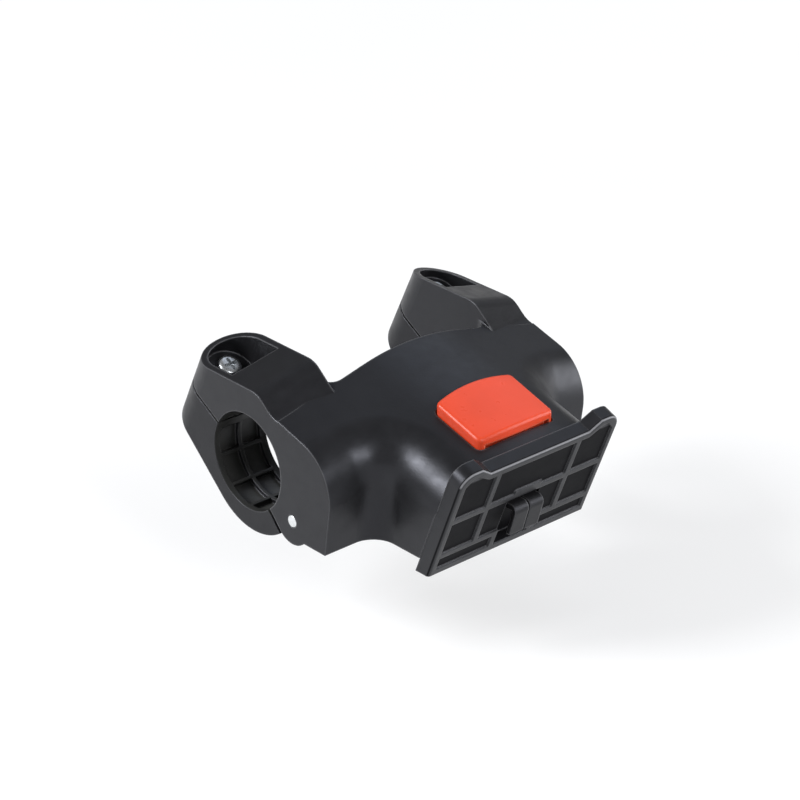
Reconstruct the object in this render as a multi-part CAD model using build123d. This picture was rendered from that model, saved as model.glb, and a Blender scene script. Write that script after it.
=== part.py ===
from build123d import *
import math
import os

# Bicycle handlebar bag mount, in millimetres.
# X runs along the handlebar, the bag plate faces -Y and +Z is up.
# The origin is on the bar's axis, midway between the two clamps.
# In the side profiles below, the first coordinate is the distance forward (-Y) and the second is Z.

# Overall
WIDTH = 105.0            # end face to end face along the bar
ARM_WIDTH = 20.0         # width of one clamp along the bar
FLOOR_Z = -22.6          # the surface that the jaws and the plate stand on
BAR_RADIUS = 15.9        # seat for a 31.8 mm handlebar

# Centre shell
REAR_FORWARD = 15.0      # rear edge of the shell, forward of the bar's axis
CROWN_HEIGHT = 29.4      # top of the shell at its rear edge
SHOULDER = 13.5          # straight part of the roof, from the crown's round to the neck's side
SLOPE_SIDE = 0.24        # fall of the roof towards the ends
SLOPE_FRONT = 0.275      # fall of the roof towards the plate
ARM_FRONT = 38.0         # front face of the arms
DRAFT = 8.0              # lean of that face, in degrees
DRAFT_LEVEL = -3.5       # height at which that face has its stated place
SHELL_BOTTOM = -17.5     # open underside
NECK_BLEND = 8.0         # plan radius between an arm and the neck
ROOF_ROUND = 16.0        # radius along the front and shoulder edges of the roof
WALL = 3.0               # shell wall
END_WALL = 4.0           # wall behind each flat end face
BAR_CLEARANCE = 2.1      # room round the bar behind the shell

# Clamp, measured along the split plane from the bar's axis, and square to it
SPLIT_ANGLE = 30.0       # split plane, rising to the rear
SPLIT_GAP = 0.8          # open slit between jaw and body
PIN_DISTANCE = 24.1      # bar axis to hinge pin, in the split plane
PIN_RADIUS = 2.0         # hinge pin
PIN_FIT = 0.05           # running clearance of the jaw on its pin
PRESS_PLAY = 0.02        # room left round pressed pins and driven screws
KNUCKLE_RADIUS = 7.7     # body leaves round the pin
BARREL_RADIUS = 7.0      # jaw barrel round the pin
LEAF_WIDTH = 5.0         # width of each body leaf
LEAF_GAP = 0.3           # side clearance of the barrel
HINGE_GAP = 1.3          # slit between the jaw's front end and the body
HINGE_SLANT = 48.0       # slope of that slit
SCREW_DISTANCE = 28.1    # bar axis to clamp screw, in the split plane
RING_WALL = 4.5          # wall round the bar seat inside the arms

# Lug and screw well
LUG_DROP = 4.7           # flat top of the lug at the end face, under the crown
LUG_FRONT = 5.5          # front end of that flat
LUG_FRONT_RUN = 0.15     # shift of that end towards the plate, per mm towards the stem
LUG_SLOPE = 0.8          # fall of the lug's front
LUG_SIDE_SLOPE = 0.29    # rise of the lug's top towards the stem
LUG_ROUND = 8.0          # round at the flat's front end
LUG_HOLLOW = 8.0         # hollow at the slope's foot
LUG_SINK = 0.3           # the slope's foot dips this far under the roof
LUG_OVERLAP = 8.0        # and runs on this far inside the shell
LUG_RAKE = 4.5           # the lug's rear wall leans this much less than the screw
LUG_REFERENCE = 20.0     # height above the split where the rear wall is true to the screw
NOOK_ROUND = 5.0         # plan radius between the lug's inner face and the shell
WELL_WALL = 2.0          # wall between the well and the lug's outside
WELL_FLOOR = 7.3         # well floor above the split plane
WELL_FRONT = 20.2        # straight front wall, from the bar's axis

# Jaw
JAW_RADIUS = 22.2        # outside of the jaw
JAW_CENTRE = 2.4         # centre of that circle, forward of the bar's axis
JAW_HEEL = 5.0           # round at the jaw's rear lower corner
JAW_HEEL_DEPTH = 14.5    # depth of the jaw under the screw, square to the split
SEAT_CORE = 1.5          # depth of the cored pockets in the jaw's seat
SEAT_RIM = 2.2           # edge left beside the pockets
SEAT_RIB = 1.3           # rib between the two rows of pockets
SEAT_CELLS = 4           # pockets in each row
SEAT_START = 163.0       # direction of the first pocket's rear end, in degrees from forward
SEAT_SWEEP = 31.0        # arc of one pocket
SEAT_PITCH = 35.0        # arc from one pocket to the next

# Clamp screw and nut
SCREW_RADIUS = 2.0       # plain shank
SCREW_CORE = 1.65        # core of the threaded end
SCREW_TIP = 9.0          # tip below the split plane
HEAD_RADIUS = 4.0        # pan head
HEAD_HEIGHT = 2.7
HEAD_CHAMFER = 0.9       # slope round the head's top
RECESS_WIDTH = 1.1       # arms of the cross recess
RECESS_LENGTH = 4.4
RECESS_DEPTH = 1.4
SCREW_HOLE_PLAY = 0.2    # radial, in the lug
NUT_FLATS = 7.0          # across the flats
NUT_HEIGHT = 3.2
NUT_BORE = 2.1           # radius, with the thread left out
NUT_SEAT = 3.5           # nut face below the split plane
NUT_PLAY = 0.15          # room on each side of the nut in its trap
JAW_HOLE = 2.6           # radius of the jaw's screw hole

# Bag plate, measured up its leaning front face from its bottom edge
PLATE_FORWARD = 59.1     # bottom front edge
PLATE_LEAN = 21.5        # the top leans forward
PLATE_HALF = 32.2        # half width
PLATE_DEPTH = 5.2        # front face to back face
PLATE_EDGE = 0.9         # round of the front edge
CELL_DEPTH = 0.6         # sunk cells between the ribs
ROOM_DEPTH = 3.6         # deeper room behind the latch's fingers
RAIL_BITE = 0.8          # the latch rails run this far into the plate
PLATE_RIM = 2.3          # width of the raised border
PLATE_RIB = 2.0          # width of a rib
PLATE_TOP = 38.5         # middle of the top
EAR_RISE = 3.0           # top of the two ears, above the middle
EAR_ROUND = 5.0          # their outer corners
EAR_FLAT = 3.0           # flat top of each ear, beside that corner
EAR_STEP = 4.2           # slope from an ear down to the middle
HOOD_HALF = 5.5          # raised part of the middle rib over the latch
HOOD_RISE = 1.3          # height added there
RIB_INSET = 3.7          # upright ribs, inside the foot of that slope
RIB_MIDDLE = 22.2        # heights of the two level ribs
RIB_LOW = 7.7

# Latch
LATCH_TRAVEL = 4.0       # draws back this far as the button goes down as far
LATCH_HALF = 5.8         # half width of the arm and the pair of fingers
LATCH_TOP = -4.6         # top of the arm
LATCH_SHEET = 1.6        # thickness of the fingers
LATCH_ARM = 2.0          # thickness of the arm
LATCH_FRONT = 69.3       # front of the fingers at the arm's top
LATCH_END = -15.2        # lower end of the fingers
LATCH_BEND = 2.3         # outer radius of the fingers' bend
FINGER_LEAN = 17.0       # the fingers lean back downwards
FINGER_SLIT = 0.6        # slit between the two fingers
BLOCK_HALF = 6.4         # half width of the sliding block
BLOCK_REAR = 38.0
BLOCK_FRONT = 58.4
BLOCK_TOP = -2.5
BLOCK_BOTTOM = -8.6
SLIDE_PLAY = 0.3         # room round the block in its slide
WINDOW_PLAY = 1.0        # room beside the fingers in the plate's window
WINDOW_LOW = 14.2        # lower edge of the window, up the plate

# Button
BUTTON_HALF = 15.2       # half width of the cap
BUTTON_REAR = 41.6       # middle of the cap's rear edge
BUTTON_FRONT = 63.2      # middle of its front edge
BUTTON_TOP_REAR = 25.4   # height of the cap at the middle of its rear edge
BUTTON_TOP_FRONT = 19.0  # height of the cap at the middle of its front edge
BUTTON_CROWN = 1.2       # the top is lower by this at both sides
BUTTON_BOW_REAR = 1.5    # the rear edge is drawn in by this at its ends
BUTTON_BOW_FRONT = 0.9   # and the front edge by this
BUTTON_ROUND = 2.0       # upright corners of the cap
BUTTON_BROW = 1.7        # thickness of the brow over the front
BUTTON_SETBACK = 1.8     # the front wall stands this far behind the brow
BUTTON_POST = 2.2        # full corner left at each end of the front wall
BUTTON_EDGE = 1.2        # round of its top edge
BUTTON_WALL = 1.8        # wall of the hollow cap
BUTTON_PLAY = 0.4        # room round the cap in its opening
FLANGE_WIDTH = 1.2       # stop flange under the roof
FLANGE_HEIGHT = 1.5
FLANGE_PLAY = 0.2        # room over the flange
LEG_HALF = 3.5           # half width of the leg that drives the latch
LEG_REAR = 47.5
LEG_FRONT = 52.0
LEG_TIP = -3.5           # lower end of the leg's slope
RAMP_PLAY = 0.3          # room between that slope and the latch's ramp

# Latch spring, cover and screws
SPRING_RADIUS = 2.2      # middle of the wire
SPRING_WIRE = 0.7        # thickness of the wire
SPRING_TURNS = 5
SPRING_SEAT = 24.5       # face of the boss that the spring stands on
SPRING_POCKET = 6.0      # depth of the spring's hole in the latch
SPRING_PLAY = 0.4        # room round the spring in its hole
SPRING_END_PLAY = 0.05   # room at each end of the spring
BOSS_HALF = 4.5          # half width of the spring's seat
RAIL_WIDTH = 2.2         # rails on both sides of the latch
RAIL_TOP = 3.0
LIP_WIDTH = 1.6          # lips that hold the latch down
LIP_HEIGHT = 1.6
COVER_HALF = 17.0        # half width of the cover
COVER_REAR = 26.0
COVER_FRONT = 57.0
COVER_HEIGHT = 2.2       # thickness of the cover
COVER_PLAY = 0.4         # room between the latch and the cover
COVER_CORNER = 2.0       # cut corners of the cover
POST_ACROSS = 11.8       # screw posts, from the middle
POST_FORWARD = 34.0      # and from the bar's axis
POST_RADIUS = 3.4
COVER_SCREW_RADIUS = 1.4
COVER_SCREW_LENGTH = 8.0 # depth of the screw in its post
COVER_HEAD_RADIUS = 2.8
COVER_HEAD_HEIGHT = 1.8
COVER_HOLE_PLAY = 0.2    # radial, in the cover
COVER_RECESS = 3.0       # length and width of the cross recess
COVER_SLOT = 0.7

# Values that follow from these
HALF = WIDTH / 2
ARM_INNER = HALF - ARM_WIDTH
ARM_MIDDLE = HALF - ARM_WIDTH / 2
CROWN_HALF = ARM_INNER - SHOULDER
LUG_RADIUS = ARM_WIDTH / 2
LUG_TOP = CROWN_HEIGHT - LUG_DROP
EAR_TOP = PLATE_TOP + EAR_RISE
EAR_INNER = PLATE_HALF - EAR_ROUND - EAR_FLAT
LIP_HALF = EAR_INNER - EAR_STEP
RIB_ACROSS = LIP_HALF - RIB_INSET
WELL_RADIUS = LUG_RADIUS - WELL_WALL
FAR = 90.0               # reach of cutters that pass right through
COS_SPLIT = math.cos(math.radians(SPLIT_ANGLE))
SIN_SPLIT = math.sin(math.radians(SPLIT_ANGLE))
COS_LEAN = math.cos(math.radians(PLATE_LEAN))
SIN_LEAN = math.sin(math.radians(PLATE_LEAN))
SPLIT_PLANE = Plane(origin=(0, 0, 0), x_dir=(1, 0, 0), z_dir=(0, -SIN_SPLIT, COS_SPLIT))
PLATE_PLANE = Plane(origin=(0, -PLATE_FORWARD, FLOOR_Z), x_dir=(1, 0, 0), z_dir=(0, -COS_LEAN, -SIN_LEAN))
PIN = (PIN_DISTANCE * COS_SPLIT, -PIN_DISTANCE * SIN_SPLIT)
RAIL_INNER = BLOCK_HALF + SLIDE_PLAY
LIP_BOTTOM = BLOCK_TOP + SLIDE_PLAY
COVER_TOP = BLOCK_BOTTOM - COVER_PLAY
SPRING_Z = (BLOCK_TOP + BLOCK_BOTTOM) / 2
ROOF_FACTOR = math.sqrt(1 + SLOPE_SIDE**2 + SLOPE_FRONT**2)


def side(x):
    """Plane of the side profiles at a place along the bar."""
    return Plane(origin=(x, 0, 0), x_dir=(0, -1, 0), z_dir=(-1, 0, 0))


def prism(profile, low, high):
    """Side profile carried along the bar from one place to another."""
    return extrude(side(high) * profile, amount=high - low)


def block(half, rear, front, bottom, top, middle=0.0):
    """Box given by its half width, its rear and front, and its heights."""
    size = (2 * half, front - rear, top - bottom)
    return Pos(middle, -(rear + front) / 2, (bottom + top) / 2) * Box(*size)


def clamp_point(along, square):
    """Side coordinates of a point given along the split plane and square to it."""
    return (square * SIN_SPLIT - along * COS_SPLIT, along * SIN_SPLIT + square * COS_SPLIT)


def round_pin(distance, angle):
    """Side coordinates of a point round the hinge pin."""
    turn = math.radians(angle)
    return (PIN[0] + distance * math.cos(turn), PIN[1] + distance * math.sin(turn))


def bar_cylinder(radius, low, high):
    """Cylinder along the bar's axis."""
    return prism(Circle(radius), low, high)


def under_roof(drop, half, rear, front):
    """Everything under the crowned roof, lowered by a given amount."""
    steep = math.atan(SLOPE_SIDE)
    radius = CROWN_HALF / math.sin(steep)
    top = CROWN_HEIGHT - drop - SLOPE_FRONT * (rear - REAR_FORWARD)
    knee = top - radius * (1 - math.cos(steep))
    eave = knee - SLOPE_SIDE * (half - CROWN_HALF)
    outline = [
        ThreePointArc((-CROWN_HALF, knee), (0, top), (CROWN_HALF, knee)),
        Polyline(
            (CROWN_HALF, knee), (half, eave), (half, -FAR),
            (-half, -FAR), (-half, eave), (-CROWN_HALF, knee)),
    ]
    plane = Plane(origin=(0, -rear, 0), x_dir=(1, 0, 0), z_dir=(0, -1, 0))
    length = front - rear
    return Solid.extrude(plane * make_face(outline).face(), (0, -length, -SLOPE_FRONT * length))


def shell_form(inset, end_wall, rear):
    """Arms and neck under the roof, drawn in by a wall thickness, with a front that leans back downwards."""
    half = HALF - end_wall
    neck = ARM_INNER - inset
    front = ARM_FRONT - inset
    corners = [
        (-half, FAR), (half, FAR), (half, -front), (neck, -front),
        (neck, -2 * FAR), (-neck, -2 * FAR), (-neck, -front), (-half, -front),
    ]
    plan = make_face(Polyline(*corners, close=True))
    inner = [v for v in plan.vertices() if abs(v.Y + front) < 0.01 and abs(abs(v.X) - neck) < 0.01]
    plan = fillet(inner, NECK_BLEND + inset)
    lean = math.tan(math.radians(DRAFT))
    start = Pos(0, (DRAFT_LEVEL - FAR) * lean, FAR) * plan
    form = Solid.extrude(start.face(), (0, 2 * FAR * lean, -2 * FAR))
    form = form & under_roof(inset * ROOF_FACTOR, half, rear, FAR)
    edges = [
        e for e in form.edges()
        if -e.center().Y > front and -e.center().Y < FAR - 1
        and e.center().Z > DRAFT_LEVEL + 1 and abs(e.tangent_at(0.5).Z) < 0.8
    ]
    return fillet(edges, ROOF_ROUND - inset)


def eave_height(x):
    """Height of the roof at the shell's rear edge, outside the round part of the crown."""
    steep = math.atan(SLOPE_SIDE)
    knee = CROWN_HEIGHT - CROWN_HALF * math.tan(steep / 2)
    return knee - SLOPE_SIDE * (x - CROWN_HALF)


def lug_section(x):
    """Side profile of the arm's rear part at a place along the bar: flat lug and hollow slope."""
    inward = HALF - x
    knee = (LUG_FRONT + LUG_FRONT_RUN * inward, LUG_TOP + LUG_SIDE_SLOPE * inward)
    low = eave_height(x) - LUG_SINK
    run = (knee[1] + LUG_SLOPE * knee[0] - low - SLOPE_FRONT * REAR_FORWARD) / (LUG_SLOPE - SLOPE_FRONT)
    foot = (run, low - SLOPE_FRONT * (run - REAR_FORWARD))
    end = REAR_FORWARD + LUG_OVERLAP
    profile = make_face(Polyline(
        (-FAR / 2, knee[1]), knee, foot, (end, low - SLOPE_FRONT * LUG_OVERLAP),
        (end, -FAR), (-FAR / 2, -FAR), close=True))
    profile = fillet([v for v in profile.vertices() if math.dist((v.X, v.Y), knee) < 0.01], LUG_ROUND)
    profile = fillet([v for v in profile.vertices() if math.dist((v.X, v.Y), foot) < 0.01], LUG_HOLLOW)
    return side(x) * profile


def arm_lug():
    """Rear part of the right arm with its raised lug, and the round filling of the nook beside the shell."""
    lug = loft([lug_section(HALF), lug_section(ARM_INNER)], ruled=True)
    rear = Pos(ARM_MIDDLE, SCREW_DISTANCE + FAR / 4) * Rectangle(FAR, FAR / 2)
    lug -= raked_column(rear) - raked_column(stadium(LUG_RADIUS, 0))
    back = REAR_FORWARD - NOOK_ROUND
    nook = block(NOOK_ROUND / 2, back, REAR_FORWARD, -FAR, FAR, ARM_INNER - NOOK_ROUND / 2)
    nook -= Pos(ARM_INNER - NOOK_ROUND, -back, 0) * Cylinder(NOOK_ROUND, 3 * FAR)
    return lug + (nook & under_roof(0, HALF, back, REAR_FORWARD))


def stadium(radius, front):
    """Plan of the lug or its well in the split plane: straight sides and a round rear end."""
    length = SCREW_DISTANCE - front
    straight = Pos(ARM_MIDDLE, (SCREW_DISTANCE + front) / 2) * Rectangle(2 * radius, length)
    return straight + Pos(ARM_MIDDLE, SCREW_DISTANCE) * Circle(radius)


def column(sketch, low, high):
    """Sketch in the split plane, carried square to it."""
    return extrude(SPLIT_PLANE.offset(low) * sketch, amount=high - low)


def raked_column(sketch):
    """Sketch in the split plane carried both ways, leaning less than the screw does."""
    lean = math.tan(math.radians(LUG_RAKE))
    away = Vector(0, COS_SPLIT * lean, SIN_SPLIT * lean) + SPLIT_PLANE.z_dir
    shift = (FAR - LUG_REFERENCE) * lean
    start = SPLIT_PLANE.offset(FAR) * Pos(0, shift) * sketch
    return Solid.extrude(start.face(), away * (-2 * FAR))


def beyond_slit(gap):
    """Side profile of the half plane past the slit in front of the jaw."""
    slant = math.radians(HINGE_SLANT)
    along = (math.cos(slant), -math.sin(slant))
    foot = round_pin(KNUCKLE_RADIUS + gap, 180 + HINGE_SLANT)
    rise = (foot[0] - FAR * along[0], foot[1] - FAR * along[1])
    fall = (foot[0] + FAR * along[0], foot[1] + FAR * along[1])
    back = (-FAR * math.sin(slant), -FAR * math.cos(slant))
    far_side = [(x + back[0], y + back[1]) for x, y in (fall, rise)]
    return make_face(Polyline(rise, fall, *far_side, close=True))


def below_split(gap):
    """Side profile of the half plane under the split."""
    near = (clamp_point(-FAR, -gap), clamp_point(FAR, -gap))
    deep = (clamp_point(FAR, -FAR), clamp_point(-FAR, -FAR))
    return make_face(Polyline(*near, *deep, close=True))


def hinge_sector():
    """Side profile of the room in which the jaw's barrel and web swing."""
    near = 2 * BARREL_RADIUS
    far = 1.6 * near
    rim = [round_pin(near, 165), round_pin(far, 205), round_pin(far, 285), round_pin(near, 325)]
    wedge = make_face(Polyline(PIN, *rim, close=True))
    return wedge + Pos(*PIN) * Circle(KNUCKLE_RADIUS)


def plate_solid():
    """Ribbed bag plate with two ears, leaning forward."""
    foot = -PLATE_DEPTH * math.tan(math.radians(PLATE_LEAN)) - 0.5
    right = [(PLATE_HALF, foot), (PLATE_HALF, EAR_TOP), (EAR_INNER, EAR_TOP), (LIP_HALF, PLATE_TOP)]
    left = [(-x, y) for x, y in reversed(right)]
    outline = make_face(Polyline(*right, *left, close=True))
    ears = [v for v in outline.vertices() if v.Y > PLATE_TOP and abs(v.X) > EAR_INNER + 1]
    outline = fillet(ears, EAR_ROUND)
    plate = extrude(PLATE_PLANE * outline, amount=-PLATE_DEPTH)
    front = plate.faces().sort_by(Axis((0, 0, 0), PLATE_PLANE.z_dir))[-1]
    plate = fillet(front.edges().sort_by(Axis.Z)[1:], PLATE_EDGE)
    for cell in plate_cells():
        plate -= extrude(PLATE_PLANE * cell, amount=-CELL_DEPTH)
    plate -= extrude(PLATE_PLANE * finger_room(PLATE_RIM), amount=-ROOM_DEPTH)
    hood = span(-HOOD_HALF, HOOD_HALF, RIB_MIDDLE, RIB_MIDDLE + PLATE_RIB / 2 + HOOD_RISE)
    plate += extrude(PLATE_PLANE * hood, amount=-2 * CELL_DEPTH)
    return plate - block(FAR, 0, FAR, -FAR, FLOOR_Z)


def span(left, right, low, high):
    """Rectangle given by its four sides."""
    return Pos((left + right) / 2, (low + high) / 2) * Rectangle(right - left, high - low)


def finger_room(low):
    """Part of the plate's middle cell in which the latch's fingers move."""
    half = LATCH_HALF + WINDOW_PLAY
    return span(-half, half, low, RIB_MIDDLE - PLATE_RIB / 2)


def plate_cells():
    """Sunk cells between the ribs of the plate."""
    rib = PLATE_RIB / 2
    outer = PLATE_HALF - PLATE_RIM
    post = RIB_ACROSS + rib
    wall = LATCH_HALF + WINDOW_PLAY + PLATE_RIB
    top = PLATE_TOP - PLATE_RIM
    ear = EAR_TOP - PLATE_RIM
    cells = [
        span(rib - RIB_ACROSS, RIB_ACROSS - rib, RIB_MIDDLE + rib, top),
        span(rib - RIB_ACROSS, RIB_ACROSS - rib, RIB_LOW + rib, RIB_MIDDLE - rib),
    ]
    for hand in (-1, 1):
        cells.append(span(*sorted((hand * post, hand * outer)), RIB_LOW + rib, RIB_MIDDLE - rib))
        cells.append(span(*sorted((hand * wall, hand * outer)), PLATE_RIM, RIB_LOW - rib))
        upper = [
            (post, RIB_MIDDLE + rib), (outer, RIB_MIDDLE + rib), (outer, ear - EAR_ROUND / 2),
            (outer - EAR_ROUND / 2, ear), (EAR_INNER + 1, ear), (LIP_HALF + 0.5, top), (post, top),
        ]
        cells.append(make_face(Polyline(*[(hand * x, y) for x, y in upper], close=True)))
    return cells


def both_sides(solid):
    """The given right-hand solid with its mirror image."""
    return solid + mirror(solid, about=Plane.YZ)


def arm_cutters():
    """Room in the right arm for the jaw, its barrel, the pin and the clamp screw."""
    jaw_room = prism(below_split(-SPLIT_GAP / 2) & beyond_slit(0), ARM_INNER - 1, HALF + 1)
    sector = prism(hinge_sector(), ARM_INNER + LEAF_WIDTH, HALF - LEAF_WIDTH)
    pin = prism(Pos(*PIN) * Circle(PIN_RADIUS + PRESS_PLAY), ARM_INNER - 1, HALF + 1)
    well = raked_column(stadium(WELL_RADIUS, WELL_FRONT))
    well -= column(Rectangle(4 * FAR, 4 * FAR), -2 * FAR, WELL_FLOOR)
    hole = column(Pos(ARM_MIDDLE, SCREW_DISTANCE) * Circle(SCREW_RADIUS + SCREW_HOLE_PLAY), -1, FAR)
    return jaw_room + sector + pin + well + hole


def neck_inside(room):
    """Rails, lips, spring seat and screw posts for the latch, inside the neck."""
    rail = Part() + block(RAIL_WIDTH / 2, BAR_RADIUS, FAR, COVER_TOP, RAIL_TOP, RAIL_INNER + RAIL_WIDTH / 2)
    lip_middle = RAIL_INNER - LIP_WIDTH / 2
    rail += block(LIP_WIDTH / 2 + 0.1, BLOCK_REAR, FAR, LIP_BOTTOM, LIP_BOTTOM + LIP_HEIGHT, lip_middle)
    post_height = RAIL_TOP - COVER_TOP
    rail += Pos(POST_ACROSS, -POST_FORWARD, COVER_TOP + post_height / 2) * Cylinder(POST_RADIUS, post_height)
    pilot = COVER_SCREW_RADIUS + PRESS_PLAY
    depth = COVER_SCREW_LENGTH + 1
    rail -= Pos(POST_ACROSS, -POST_FORWARD, COVER_TOP + depth / 2) * Cylinder(pilot, depth)
    seat = block(BOSS_HALF, BAR_RADIUS, SPRING_SEAT, COVER_TOP, SPRING_Z + BOSS_HALF)
    return (both_sides(rail) + seat) & room


def bracket_body():
    """The whole moulding: arms, fixed clamp halves, shell, neck and plate."""
    plate_front = extrude(PLATE_PLANE.offset(-PLATE_DEPTH) * Rectangle(4 * FAR, 4 * FAR), amount=2 * FAR)
    body = shell_form(0, 0, REAR_FORWARD) - plate_front + both_sides(arm_lug())
    body -= block(FAR, -FAR, FAR, -2 * FAR, SHELL_BOTTOM)
    body -= bar_cylinder(BAR_RADIUS + BAR_CLEARANCE, -ARM_INNER, ARM_INNER)
    ring = bar_cylinder(BAR_RADIUS + RING_WALL, -HALF, HALF)
    inside = shell_form(WALL, END_WALL, REAR_FORWARD + WALL) - plate_front
    body -= inside - ring
    body += both_sides(prism(Pos(*PIN) * Circle(KNUCKLE_RADIUS), ARM_INNER, HALF))
    body -= bar_cylinder(BAR_RADIUS, -FAR, FAR)
    body -= both_sides(arm_cutters())
    body += plate_solid()
    body += neck_inside(inside + extrude(PLATE_PLANE.offset(-PLATE_DEPTH) * plate_back(), amount=RAIL_BITE))
    body -= extrude(PLATE_PLANE * finger_room(WINDOW_LOW), amount=-PLATE_DEPTH - 1)
    return body - button_opening()


def button_opening():
    """Cutter for the button's opening in the roof."""
    return extrude(Pos(0, 0, RAIL_TOP + 1) * button_plan(BUTTON_PLAY), amount=FAR)


def button_plan(play):
    """Plan of the button or of its opening, with bowed ends."""
    half = BUTTON_HALF + play
    rear = BUTTON_REAR - play
    front = BUTTON_FRONT + play
    ends = [
        ThreePointArc((-half, -rear - BUTTON_BOW_REAR), (0, -rear), (half, -rear - BUTTON_BOW_REAR)),
        ThreePointArc((half, BUTTON_BOW_FRONT - front), (0, -front), (-half, BUTTON_BOW_FRONT - front)),
    ]
    sides = [Line(ends[0] @ 1, ends[1] @ 0), Line(ends[1] @ 1, ends[0] @ 0)]
    plan = make_face([ends[0], sides[0], ends[1], sides[1]])
    return fillet(plan.vertices(), BUTTON_ROUND + play)


def under_crown():
    """Everything under the button's crowned, sloping top."""
    length = BUTTON_FRONT - BUTTON_REAR + 2 * BUTTON_ROUND
    fall = (BUTTON_TOP_REAR - BUTTON_TOP_FRONT) / (BUTTON_FRONT - BUTTON_REAR)
    rear = BUTTON_REAR - BUTTON_ROUND
    top = BUTTON_TOP_REAR + fall * BUTTON_ROUND
    reach = 1.2
    half = reach * BUTTON_HALF
    edge = top - reach**2 * BUTTON_CROWN
    outline = [
        ThreePointArc((-half, edge), (0, top), (half, edge)),
        Polyline((half, edge), (half, -FAR), (-half, -FAR), (-half, edge)),
    ]
    plane = Plane(origin=(0, -rear, 0), x_dir=(1, 0, 0), z_dir=(0, -1, 0))
    return Solid.extrude(plane * make_face(outline).face(), (0, -length, -fall * length))


def plate_back():
    """Area of the plate's web that the rails run into."""
    return span(-RAIL_INNER - 2 * RAIL_WIDTH, RAIL_INNER + 2 * RAIL_WIDTH, 0, PLATE_TOP / 1.2)


def clamp_jaw():
    """Lower half of the right clamp, with its barrel and nut trap."""
    lean = math.tan(math.radians(LUG_RAKE))
    heel_square = JAW_HEEL - JAW_HEEL_DEPTH
    end = SCREW_DISTANCE + LUG_RADIUS - lean * LUG_REFERENCE
    heel = clamp_point(end + lean * heel_square - JAW_HEEL, heel_square)
    middle = (JAW_CENTRE, FLOOR_Z + JAW_RADIUS)
    reach = math.dist(middle, heel)
    turn = math.atan2(heel[1] - middle[1], heel[0] - middle[0]) + math.acos((JAW_RADIUS - JAW_HEEL) / reach)
    away = (math.cos(turn), math.sin(turn))
    flank = make_face(Polyline(
        middle, (middle[0] + JAW_RADIUS * away[0], middle[1] + JAW_RADIUS * away[1]),
        (heel[0] + JAW_HEEL * away[0], heel[1] + JAW_HEEL * away[1]), heel, (0, 0), close=True))
    boss = make_face(Polyline(
        (0, 0), heel, clamp_point(end + lean * heel_square, heel_square), clamp_point(end, 0), close=True))
    profile = Pos(*middle) * Circle(JAW_RADIUS) + Pos(*heel) * Circle(JAW_HEEL) + flank + boss
    profile = profile & below_split(SPLIT_GAP / 2) & beyond_slit(HINGE_GAP)
    jaw = prism(profile, ARM_INNER, HALF) & raked_column(stadium(LUG_RADIUS, -FAR))
    web = make_face(Polyline(
        PIN, round_pin(BARREL_RADIUS + 4.5, 177), round_pin(BARREL_RADIUS + 4.5, 205),
        round_pin(BARREL_RADIUS + 4.0, 235), round_pin(BARREL_RADIUS, 250), close=True))
    inset = LEAF_WIDTH + LEAF_GAP
    jaw += prism(web + Pos(*PIN) * Circle(BARREL_RADIUS), ARM_INNER + inset, HALF - inset)
    jaw -= bar_cylinder(BAR_RADIUS, 0, FAR)
    jaw -= seat_pockets()
    jaw -= prism(Pos(*PIN) * Circle(PIN_RADIUS + PIN_FIT), 0, FAR)
    axis = Pos(ARM_MIDDLE, SCREW_DISTANCE)
    jaw -= column(axis * Circle(JAW_HOLE), -FAR, 0)
    trap = RegularPolygon(NUT_FLATS / 2 + NUT_PLAY, 6, major_radius=False)
    return jaw - column(axis * trap, -FAR, -NUT_SEAT)


def seat_pockets():
    """Cored pockets in the right jaw's seat, in two rows with ribs round and along the bar."""
    ring = Circle(BAR_RADIUS + SEAT_CORE)
    pockets = Part()
    for cell in range(SEAT_CELLS):
        start = math.radians(SEAT_START + cell * SEAT_PITCH)
        rays = [start, start + math.radians(SEAT_SWEEP)]
        fan = [(2 * BAR_RADIUS * math.cos(a), 2 * BAR_RADIUS * math.sin(a)) for a in rays]
        sector = ring & make_face(Polyline((0, 0), *fan, close=True))
        pockets += prism(sector, ARM_INNER + SEAT_RIM, ARM_MIDDLE - SEAT_RIB / 2)
        pockets += prism(sector, ARM_MIDDLE + SEAT_RIB / 2, HALF - SEAT_RIM)
    return pockets


def hinge_pin():
    """Steel pin of the right hinge."""
    return prism(Pos(*PIN) * Circle(PIN_RADIUS), ARM_INNER, HALF)


def clamp_screw():
    """Pan-head screw of the right clamp, with a cross recess."""
    axis = Pos(ARM_MIDDLE, SCREW_DISTANCE)
    head = column(axis * Circle(HEAD_RADIUS), WELL_FLOOR, WELL_FLOOR + HEAD_HEIGHT)
    rim = max(head.edges().filter_by(GeomType.CIRCLE), key=lambda e: e.arc_center.Z)
    head = chamfer(rim, HEAD_CHAMFER)
    cross = Rectangle(RECESS_LENGTH, RECESS_WIDTH) + Rectangle(RECESS_WIDTH, RECESS_LENGTH)
    head -= column(axis * cross, WELL_FLOOR + HEAD_HEIGHT - RECESS_DEPTH, WELL_FLOOR + HEAD_HEIGHT)
    shank = column(axis * Circle(SCREW_RADIUS), 0, WELL_FLOOR)
    return head + shank + column(axis * Circle(SCREW_CORE), -SCREW_TIP, 0)


def clamp_nut():
    """Hexagon nut of the right clamp."""
    ring = RegularPolygon(NUT_FLATS / 2, 6, major_radius=False) - Circle(NUT_BORE)
    return column(Pos(ARM_MIDDLE, SCREW_DISTANCE) * ring, -NUT_SEAT - NUT_HEIGHT, -NUT_SEAT)


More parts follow.
